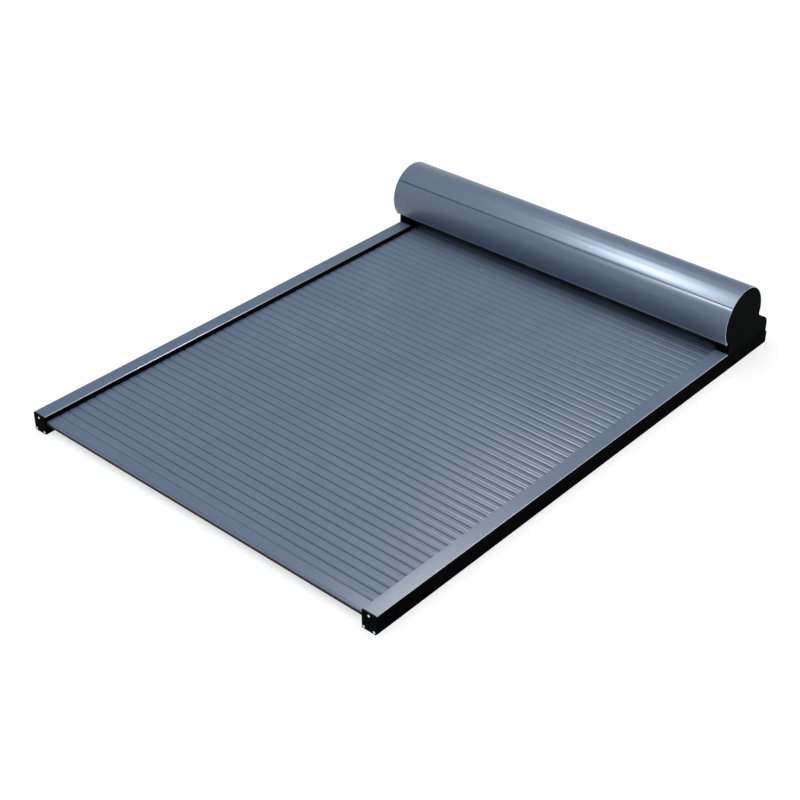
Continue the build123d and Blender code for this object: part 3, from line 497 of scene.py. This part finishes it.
# Along the front cover's hem a thin band is painted bare metal: a painted highlight, the bright line of the
# lip.
hem_bottom, hem_top = 0.0886, 0.0900
along_y, along_x = (900.0, 2.0, 900.0), (2.0, 900.0, 900.0)
satin = dict(Coat_Roughness=0.25, Coat_Weight=1.0, Coat_IOR=1.38, Specular_IOR_Level=0.1)
gloss = dict(Coat_Roughness=0.42, Coat_Weight=0.7, Coat_IOR=1.5, Specular_IOR_Level=0.1)
slate_along = slate_finish("slate_lacquer_rails", along_y, 0.8, edge_wear_and_highlight=0.9, **satin)
slate_across = slate_finish("slate_lacquer_bar", along_x, 0.6, **satin)
# The slats carry painted shade in their joints.
slate_slats = slate_finish("slate_lacquer_slats", along_x, 0.6, dull_below=dull_level,
                           bands=[(joint_bottom, joint_top, 0.0006, painted_joint_shade)],
                           **dict(satin, Coat_Roughness=0.32))
slate_top = slate_finish("slate_lacquer_top", along_x, 0.4, flake=0.12, edge_wear_and_highlight=0.9, **gloss)
# The front cover carries a painted highlight along its hem and painted shade in its seam.
slate_front = slate_finish("slate_lacquer_front", along_x, 0.4, flake=0.12, edge_wear_and_highlight=0.9,
                           bands=[(hem_bottom, hem_top, 0.0002, bare_metal_and_highlight),
                                  (seam_bottom, seam_top, 0.0003, painted_joint_shade)], **gloss)
print("made", slate_along.name, slate_across.name, slate_slats.name, slate_top.name, slate_front.name)

# %% Black lacquer, near-black as painted shade on the unlit sides of the rails
# The rails' dark paint is pushed close to pure black: painted shade for their unlit sides.
black = Finish("black_rails_painted_shade", IOR=1.02)
black_skin = black.group(peel, Scale=1100.0)
black_lines = black.group(drawn, Across_X=700.0, Across_Y=2.0, Across_Z=700.0)
black_film = black.group(dust, Amount=0.05)
black_colour = black.colours(black_skin.outputs["Patches"], (0.0024, 0.0025, 0.0028), (0.0036, 0.0038, 0.0042))
black.feed("Base Color", black.colours(black_film.outputs["Mask"], black_colour, dust_colour))
black.feed("Roughness", black.numbers(black_lines.outputs["Lines"], 0.34, 0.42))
black.relief(black_lines.outputs["Lines"], line_relief)
black.relief(black_skin.outputs["Height"], peel_relief)
black_lacquer = black.material
print("made", black_lacquer.name)


# %% Helpers for the plainer finishes
def toned_finish(name, scale, colours, roughness, relief, film=0.0, pebbles=0.0, **sockets):
    """Finish that changes in patches between two colours, and finely between two degrees of roughness.

    Its grain is that of the patches, or of pebbles of a scale of their own. A film is dust on it."""
    finish = Finish(name, **sockets)
    tone = finish.group(peel, Scale=scale)
    colour = finish.colours(tone.outputs["Patches"], *colours)
    if film:
        colour = finish.colours(finish.group(dust, Amount=film).outputs["Mask"], colour, dust_colour)
    finish.feed("Base Color", colour)
    finish.feed("Roughness", finish.numbers(tone.outputs["Height"], *roughness))
    grain = finish.group(pebble, Scale=pebbles) if pebbles else tone
    finish.relief(grain.outputs["Height"], relief)
    return finish.material


def lined_finish(name, across, colours, roughness, relief, **sockets):
    """Finish with fine lines. The three scales say how close they lie along X, Y and Z."""
    finish = Finish(name, **sockets)
    lines = finish.group(drawn, Across_X=across[0], Across_Y=across[1], Across_Z=across[2]).outputs["Lines"]
    finish.feed("Base Color", finish.colours(lines, *colours))
    finish.feed("Roughness", finish.numbers(lines, *roughness))
    finish.relief(lines, relief)
    return finish.material


# %% Plastics, rubber and bristle fibre
black_plastic = toned_finish(
    "black_moulded_plastic", scale=300.0, colours=((0.0030, 0.0033, 0.0038), (0.0048, 0.0052, 0.0060)),
    roughness=(0.38, 0.50), relief=0.00008, film=0.08, pebbles=1300.0, IOR=1.03)
grey_nylon = toned_finish(
    "grey_nylon", scale=500.0, colours=((0.33, 0.34, 0.35), (0.39, 0.40, 0.41)),
    roughness=(0.4, 0.55), relief=0.00004, pebbles=900.0, Specular_IOR_Level=0.4, Subsurface_Weight=0.05)
black_rubber = toned_finish(
    "black_rubber", scale=700.0, colours=((0.012, 0.012, 0.013), (0.020, 0.020, 0.021)),
    roughness=(0.6, 0.8), relief=0.00005, film=0.10, Specular_IOR_Level=0.25)
bristle_fibre = lined_finish(
    "bristle_fibre", across=(2500.0, 2500.0, 60.0), colours=((0.010, 0.010, 0.011), (0.035, 0.035, 0.038)),
    roughness=(0.5, 0.7), relief=0.0002, Specular_IOR_Level=0.3)
print("made", black_plastic.name, grey_nylon.name, black_rubber.name, bristle_fibre.name)

# %% Metals and the motor's paint
steel = Finish("bright_steel", Metallic=1.0)
steel_tone = steel.group(peel, Scale=260.0).outputs["Height"]
steel.feed("Base Color", steel.colours(steel_tone, (0.62, 0.63, 0.65), (0.74, 0.75, 0.76)))
steel.feed("Roughness", steel.numbers(steel_tone, 0.22, 0.36))
steel.relief(steel_tone, 0.00002)
bright_steel = steel.material

zinc = Finish("galvanised_sheet", Metallic=1.0)
spangle = node_in(zinc.tree, "ShaderNodeTexVoronoi", feature="F1", Scale=110.0)
zinc.tree.links.new(zinc.tree.nodes.new("ShaderNodeTexCoord").outputs["Object"], spangle.inputs["Vector"])
spangle_tone = node_in(zinc.tree, "ShaderNodeSeparateColor")
zinc.tree.links.new(spangle.outputs["Color"], spangle_tone.inputs[0])
zinc.feed("Base Color", zinc.colours(spangle_tone.outputs[0], (0.42, 0.44, 0.46), (0.60, 0.62, 0.64)))
zinc.feed("Roughness", zinc.numbers(spangle_tone.outputs[1], 0.32, 0.5))
zinc.relief(spangle.outputs["Distance"], 0.00003)
galvanised_sheet = zinc.material

rolled_aluminium = lined_finish(
    "rolled_aluminium", across=(2.0, 1200.0, 1200.0), colours=((0.55, 0.56, 0.57), (0.64, 0.65, 0.66)),
    roughness=(0.3, 0.45), relief=0.00003, Metallic=1.0)
motor_paint = toned_finish(
    "motor_housing_paint", scale=800.0, colours=((0.72, 0.73, 0.74), (0.80, 0.81, 0.82)),
    roughness=(0.35, 0.5), relief=0.00003, Specular_IOR_Level=0.5)
print("made", bright_steel.name, galvanised_sheet.name, rolled_aluminium.name, motor_paint.name)

# %% [markdown]
# ## Dressing the CAD pieces
#
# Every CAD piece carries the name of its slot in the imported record, and takes the finish that belongs to it.
# Some slate pieces take one of their own: the rails' covers were drawn along Y and the other profiles along X,
# and the casing's two covers have a fuller gloss. The slats get theirs further down.

# %% Give each CAD piece its finish
finish_of_slot = {
    "slate_lacquer": slate_across,
    "black_lacquer": black_lacquer,
    "black_plastic": black_plastic,
    "grey_nylon": grey_nylon,
    "black_rubber": black_rubber,
    "bristle_fibre": bristle_fibre,
    "bright_steel": bright_steel,
    "galvanised_steel": galvanised_sheet,
    "motor_housing": motor_paint,
    "plain_aluminium": rolled_aluminium,
}
finish_of_piece = {
    "rail_cover_left": slate_along,
    "rail_cover_right": slate_along,
    "front_cover": slate_front,
    "top_cover": slate_top,
}
for name, piece in nodes.items():
    slot_name = piece.material_slots[0].material.name.split(".")[0]
    for place in piece.material_slots:
        place.material = finish_of_piece.get(name, finish_of_slot[slot_name])
print("dressed", len(nodes), "CAD pieces")

# %% [markdown]
# ## Softer edges
#
# No real edge is perfectly sharp, and the thin bright lines along the covers in the photograph are light caught
# by small rounds. The imported meshes have doubled corners, so a Weld modifier joins them first. A Bevel
# modifier then rounds what is sharper than a set angle. Both are modifiers, so the CAD mesh stays as it is.

# %% Weld and bevel
# The slate finishes also paint these rounds bare metal, partly as wear and partly as a painted highlight.
weld_distance = 0.00002
bevel_angle = 40.0
edge_rounds = {
    0.0008: ("rail_cover_left", "rail_cover_right"),
    0.0006: ("front_cap_left", "front_cap_right", "rear_cap_left", "rear_cap_right",
             "front_cover", "top_cover"),
    0.0005: ("cheek_left", "cheek_right"),
    0.0003: ("bottom_bar", "bar_end_plugs", "rear_profile"),
}
for width, names in edge_rounds.items():
    for name in names:
        weld = nodes[name].modifiers.new("weld", "WELD")
        weld.merge_threshold = weld_distance
        bevel = nodes[name].modifiers.new("bevel", "BEVEL")
        bevel.width = width
        bevel.segments = 2
        bevel.limit_method = "ANGLE"
        bevel.angle_limit = radians(bevel_angle)
        bevel.harden_normals = True
print("softened pieces:", sum(1 for piece in nodes.values() if piece.modifiers))


# %% [markdown]
# ## Slats
#
# A slat is rolled from thin strip: its face is slightly crowned and carries three low ribs, its front edge
# curls into a pocket, and its rear edge is a tongue with a hook that lies in the next slat's pocket. The CAD
# slats have flat facets on top. Subdivision would round the hooks as well, so here one outline is drawn with
# the ribs as a smooth wave and pulled across the blind.

# %% Helpers for built pieces
smooth_angle = 30.0


def finish_mesh(bm, name, material):
    """Turns a bmesh into a piece with one finish, smooth where it bends gently."""
    bmesh.ops.recalc_face_normals(bm, faces=bm.faces)
    mesh = bpy.data.meshes.new(name)
    bm.to_mesh(mesh)
    bm.free()
    mesh.shade_smooth()
    mesh.set_sharp_from_angle(angle=radians(smooth_angle))
    mesh.materials.append(material)
    piece = bpy.data.objects.new(name, mesh)
    scene.collection.objects.link(piece)
    return piece


def join_rings(bm, rings):
    """Walls from each ring of corners to the next."""
    for first, second in zip(rings, rings[1:]):
        for index in range(len(first)):
            following = (index + 1) % len(first)
            bm.faces.new((first[index], first[following], second[following], second[index]))


def pull(bm, outline, start, end, place):
    """Pulls a closed outline from a start to an end. The function place gives the corner for a point."""
    rings = [[bm.verts.new(place(point, distance)) for point in outline] for distance in (start, end)]
    join_rings(bm, rings)
    ends = [bm.faces.new(ring) for ring in rings]
    bmesh.ops.triangulate(bm, faces=ends, ngon_method="EAR_CLIP")


# %% The outline of one slat
slat_pitch = 0.0275
nose = 0.00095
crest = 0.0085
shoulder = slat_pitch - nose
tongue_low, tongue_high = 0.0036, 0.0049
tongue_play = 0.0005
hook_high, hook_reach, hook_width = 0.0063, 0.0047, 0.0013
lip_length, pocket_depth, jaw_high = 0.0021, 0.0054, 0.0031
rib_rise = 0.0007
rib_place = 0.26
rib_step = 0.34
face_crown = 0.0011
edge_roll = 0.0012
edge_roll_width = 0.0028
face_samples = 44


def face_height(y):
    """Height of the slat's face, from the joint at its front edge to the joint at its rear edge."""
    share = y / slat_pitch
    wave = 0.5 - 0.5 * cos(tau * (share - rib_place) / rib_step)
    from_edge = min(y - nose, shoulder - y)
    roll = max(0.0, 1 - from_edge / edge_roll_width) ** 2
    return crest - rib_rise * wave - face_crown * (2 * share - 1) ** 2 - edge_roll * roll


def slat_outline():
    """The slat's section, up from its underside: tongue and hook, face, lip and pocket."""
    tip = slat_pitch + nose + hook_reach
    hook_back = tip - hook_width
    lip_back, pocket_back = nose + lip_length, nose + pocket_depth
    lip_low, pocket_high = tongue_high + tongue_play, hook_high + tongue_play
    face = [shoulder + (nose - shoulder) * step / face_samples for step in range(face_samples + 1)]
    return [
        (nose, 0.0), (shoulder, 0.0), (shoulder, tongue_low), (tip, tongue_low), (tip, hook_high),
        (hook_back, hook_high), (hook_back, tongue_high), (shoulder, tongue_high),
        *[(y, face_height(y)) for y in face],
        (nose, lip_low), (lip_back, lip_low), (lip_back, pocket_high),
        (pocket_back, pocket_high), (pocket_back, jaw_high), (nose, jaw_high),
    ]


print("points on a slat's outline:", len(slat_outline()))

# %% All slats
for node_name in sorted(name for name in nodes if name.startswith("slats_")):
    low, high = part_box(node_name)
    bm = bmesh.new()
    for number in range(round((high[1] - low[1]) / slat_pitch)):
        front = low[1] - nose + number * slat_pitch
        pull(bm, slat_outline(), low[0], high[0], lambda p, x: (x, front + p[0], low[2] + p[1]))
    slats = finish_mesh(bm, "rolled_" + node_name, slate_slats)
    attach(slats, "curtain")
    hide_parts(node_name)

# %% [markdown]
# ## Rubber seal of the bottom bar
#
# A strip of black rubber hangs under the bar's front lip. Fine upright ribs on its face let it bend against the
# window. A texture could draw them, but they show at the strip's edge too, so they are real ribs: the strip's
# section steps in and out as it goes across.

# %% Ribbed seal
seal_rib_pitch = 0.004
seal_rib_depth = 0.0005
seal_height, seal_thickness = 0.0080, 0.0026
front_taper, rear_taper = 0.0018, 0.0036
tip_front, tip_rear = 0.00065, 0.00195
rib_shares = ((0.0, 0.0), (0.45, 0.0), (0.55, 1.0), (0.9, 1.0))
seal_low, seal_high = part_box("bar_seal")


def seal_section(recess):
    """The strip's section at a rib or between two ribs, as Y and Z."""
    y, z = seal_low[1], seal_low[2]
    return [(y + recess, z + seal_height), (y + seal_thickness, z + seal_height),
            (y + seal_thickness, z + rear_taper), (y + tip_rear, z),
            (y + tip_front + recess / 2, z), (y + recess, z + front_taper)]


bm = bmesh.new()
rib_number = int((seal_high[0] - seal_low[0]) / seal_rib_pitch)
stations = [(seal_low[0] + (rib + share) * seal_rib_pitch, depth * seal_rib_depth)
            for rib in range(rib_number) for share, depth in rib_shares]
stations.append((seal_high[0], 0.0))
rings = [[bm.verts.new((x, *point)) for point in seal_section(recess)] for x, recess in stations]
join_rings(bm, rings)
for ring in (rings[0], rings[-1]):
    bmesh.ops.triangulate(bm, faces=[bm.faces.new(ring)], ngon_method="EAR_CLIP")
bar_seal = finish_mesh(bm, "ribbed_bar_seal", black_rubber)
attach(bar_seal, "curtain")
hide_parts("bar_seal")
print("ribs on the seal:", rib_number)

# %% [markdown]
# ## Brush under the casing's lip
#
# A row of stiff black bristles closes the gap above the moving slats and keeps leaves out. A hair system would
# leave no mesh to export, so each bristle is a slim three-sided spike of its own length and lean, set in a
# rolled strip. The random numbers have a fixed seed, and the brush comes out the same every time.

# %% Bristles
brush_low, brush_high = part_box("lip_brush")
strip_height = 0.0046
strip_round = 0.0008
strip_low = brush_high[2] - strip_height
bristle_count = 1500
bristle_root = 0.00042
root_sink = 0.0004
end_margin = 0.001
depth_share, shortest_share = 0.55, 0.88
sideways_lean, forward_lean = 0.0007, 0.0005
full_length = brush_high[2] - brush_low[2] - strip_height
chance = random.Random(7)

bm = bmesh.new()
half_depth, half_height = (brush_high[1] - brush_low[1]) / 2, strip_height / 2
middle = brush_low[1] + half_depth
strip_outline = [(middle + sy * (half_depth - strip_round) + strip_round * cos(turn),
                  strip_low + half_height + sz * (half_height - strip_round) + strip_round * sin(turn))
                 for sy, sz, quarter in ((1, 1, 0), (-1, 1, 1), (-1, -1, 2), (1, -1, 3))
                 for turn in (quarter * pi / 2 + step * pi / 6 for step in range(4))]
pull(bm, strip_outline, brush_low[0], brush_high[0], lambda p, x: (x, p[0], p[1]))
for number in range(bristle_count):
    across = (brush_high[0] - brush_low[0] - 2 * end_margin) * (number + 0.5) / bristle_count
    x = brush_low[0] + end_margin + across
    y = middle + chance.uniform(-depth_share, depth_share) * half_depth
    length = full_length * chance.uniform(shortest_share, 1.0)
    tip = bm.verts.new((x + chance.uniform(-sideways_lean, sideways_lean),
                        y + chance.uniform(-forward_lean, forward_lean), strip_low - length))
    root = [bm.verts.new((x + bristle_root * cos(turn), y + bristle_root * sin(turn), strip_low + root_sink))
            for turn in (0, tau / 3, 2 * tau / 3)]
    for index in range(3):
        bm.faces.new((root[index], root[(index + 1) % 3], tip))
    bm.faces.new(root)
brush = finish_mesh(bm, "lip_brush_bristles", bristle_fibre)
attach(brush, "frame")
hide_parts("lip_brush")
print("bristles:", bristle_count)

# %% [markdown]
# ## Screws
#
# The CAD screws are plain pegs in their right places. Each is rebuilt with a turned head and a cross recess.
# The recess could be cut by a boolean, but filling the ring between the head's edge and a cross, and then
# sinking the cross, makes a cleaner mesh. The separate solids of a CAD node tell where each screw goes.

# %% Helpers for screws
def solids_of(node_name):
    """Boxes of the separate solids in a CAD node, as low and high corners.

    Faces that share a corner belong to one solid. Each corner points to a leader, and those of one solid end
    up with the same one."""
    mesh = nodes[node_name].data
    spot_of = [tuple(round(c, 5) for c in vertex.co) for vertex in mesh.vertices]
    leader = {spot: spot for spot in spot_of}

    def find(spot):
        while leader[spot] != spot:
            spot = leader[spot]
        return spot

    for polygon in mesh.polygons:
        spots = [find(spot_of[index]) for index in polygon.vertices]
        for spot in spots[1:]:
            leader[find(spot)] = find(spots[0])
    groups = {}
    for spot in leader:
        groups.setdefault(find(spot), []).append(spot)
    return [(Vector(min(spot[i] for spot in group) for i in range(3)),
             Vector(max(spot[i] for spot in group) for i in range(3)))
            for group in groups.values()]


def cross_points(reach, half_width):
    """Corners of a cross recess, anticlockwise."""
    arm = [Vector(p) for p in ((reach, -half_width), (reach, half_width), (half_width, half_width))]
    turns = [Matrix.Rotation(quarter * pi / 2, 2) for quarter in range(4)]
    return [turn @ point for turn in turns for point in arm]


screw_sides = 28
cross_mouth, cross_floor = (0.58, 0.13), (0.42, 0.11)
cross_depth = 0.35


def add_screw(bm, top, outward, head_profile, shank_radius, length):
    """Screw with its head at a place, looking outward. The profile is head radii and depths in metres.

    The cross recess is given by shares of the head's radius."""
    turn = Vector(outward).to_track_quat("Z", "Y").to_matrix().to_4x4()
    frame_of_screw = Matrix.Translation(top) @ turn

    def ring(points, depth):
        return [bm.verts.new(frame_of_screw @ Vector((x, y, -depth))) for x, y in points]

    def round_points(radius):
        turns = [tau * n / screw_sides for n in range(screw_sides)]
        return [(radius * cos(turn), radius * sin(turn)) for turn in turns]

    head_radius = head_profile[-1][0]
    rings = [ring(round_points(radius), depth) for radius, depth in head_profile]
    rings.append(ring(round_points(shank_radius), head_profile[-1][1]))
    rings.append(ring(round_points(shank_radius), length))
    join_rings(bm, rings)
    bm.faces.new(rings[-1])
    mouth = ring(cross_points(*(share * head_radius for share in cross_mouth)), head_profile[0][1])
    bottom = ring(cross_points(*(share * head_radius for share in cross_floor)), cross_depth * head_radius)
    join_rings(bm, (mouth, bottom))
    bm.faces.new(bottom)
    edges = [bm.edges.get((loop[i], loop[(i + 1) % len(loop)]))
             for loop in (mouth, rings[0]) for i in range(len(loop))]
    bmesh.ops.triangle_fill(bm, use_beauty=True, edges=edges)


# %% All screws
def flat_head(radius, height):
    """Countersunk head: flush on top, with a narrow edge and a cone below."""
    return [(0.97 * radius, 0.0), (radius, 0.06 * height), (radius, 0.25 * height), (0.62 * radius, height)]


def pan_head(radius, height):
    """Low domed head."""
    return [(0.62 * radius, 0.0), (0.82 * radius, 0.12 * height), (0.95 * radius, 0.4 * height),
            (radius, 0.75 * height), (radius, height)]


screw_kinds = {
    "cap_screws": (flat_head, 0.0017, 0.0017, lambda c: (0, -1, 0)),
    "cheek_screws": (flat_head, 0.0012, 0.0017, lambda c: (1 if c.x > 0 else -1, 0, 0)),
    "cover_screws": (pan_head, 0.0020, 0.0018, lambda c: (0, 1, 0)),
    "bracket_screws": (pan_head, 0.0022, 0.0020, lambda c: (-1 if c.x > 0 else 1, 0, 0)),
}
for node_name, (head, head_height, shank, outward_at) in screw_kinds.items():
    bm = bmesh.new()
    for low, high in solids_of(node_name):
        centre, size = (low + high) / 2, high - low
        outward = Vector(outward_at(centre))
        length = abs(size.dot(outward))
        radius = max(abs(s) for s, o in zip(size, outward) if o == 0) / 2
        add_screw(bm, centre + outward * length / 2, outward, head(radius, head_height), shank, length)
    is_black = node_name == "cheek_screws"
    screws = finish_mesh(bm, node_name + "_cross_head", black_lacquer if is_black else bright_steel)
    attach(screws, "frame")
    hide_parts(node_name)
    print(node_name, len(solids_of(node_name)))

# %% [markdown]
# ## Straps to the axle
#
# Strips of spring steel tie the top slat to the axle tube. On the real blind they wind up with the curtain.
# Each strip is a flat section with rounded edges, led along an L with a round bend.

# %% Straps
strap_half = 0.0004
strap_bend = 0.009
strap_bend_steps = 8
strap_edge_steps = 3

bm = bmesh.new()
for low, high in solids_of("hanger_straps"):
    level, back = low.z + strap_half, high.y - strap_half
    route = [(low.y, level, 0.0)]
    for step in range(strap_bend_steps + 1):
        turn = step * pi / (2 * strap_bend_steps)
        route.append((back - strap_bend + strap_bend * sin(turn),
                      level + strap_bend - strap_bend * cos(turn), turn))
    route.append((back, high.z, pi / 2))
    half_width = (high.x - low.x) / 2
    edge_turns = [-pi / 2 + pi * step / strap_edge_steps for step in range(strap_edge_steps + 1)]
    outline = [(side * (half_width - strap_half + strap_half * cos(turn)), side * strap_half * sin(turn))
               for side in (1, -1) for turn in edge_turns]
    middle = (low.x + high.x) / 2
    rings = [[bm.verts.new((middle + across, y - thick * sin(turn), z + thick * cos(turn)))
              for across, thick in outline] for y, z, turn in route]
    join_rings(bm, rings)
    bm.faces.new(rings[0])
    bm.faces.new(rings[-1])
straps = finish_mesh(bm, "spring_straps", galvanised_sheet)
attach(straps, "frame")
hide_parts("hanger_straps")
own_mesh(straps)
print("straps:", len(solids_of("hanger_straps")))
